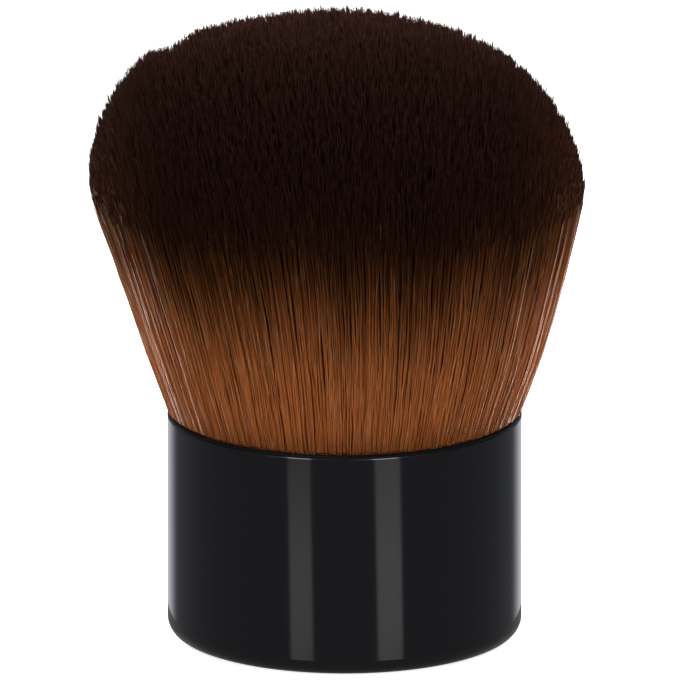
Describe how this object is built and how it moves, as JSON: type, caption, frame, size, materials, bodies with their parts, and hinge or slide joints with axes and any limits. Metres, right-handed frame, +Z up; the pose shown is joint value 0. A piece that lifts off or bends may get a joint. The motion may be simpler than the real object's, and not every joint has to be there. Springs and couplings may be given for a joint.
{
  "type": "kabuki makeup brush",
  "caption": "Short kabuki makeup brush: a full domed tuft of brown filaments flaring out of a straight gloss black metal cup that it stands on.",
  "frame": {"origin": "centre of the shell's flat base, where the brush stands", "axes": "+Z up along the shell's axis, from the base to the top of the tuft; +X to the right as the brush is seen from the front"},
  "size_m": [0.0501, 0.0501, 0.0633],
  "materials": {
    "shell_lacquer": "gloss",
    "pad_adhesive": "satin",
    "ballast_steel": "satin",
    "inner_cup_plastic": "satin",
    "bond_adhesive": "satin",
    "ferrule_aluminium": "satin",
    "tie_thread": "matte",
    "plug_epoxy": "gloss",
    "bristle_filament": "satin"
  },
  "bodies": {
    "root": {"outer_shell": "shell_lacquer", "ballast_pad": "pad_adhesive", "ballast_disc": "ballast_steel", "inner_cup": "inner_cup_plastic", "bonding_ring": "bond_adhesive", "ferrule": "ferrule_aluminium", "root_tie": "tie_thread", "glue_plug": "plug_epoxy", "bristles_centre": "bristle_filament", "bristles_middle": "bristle_filament", "bristles_outer": "bristle_filament"}
  },
  "joints": []
}
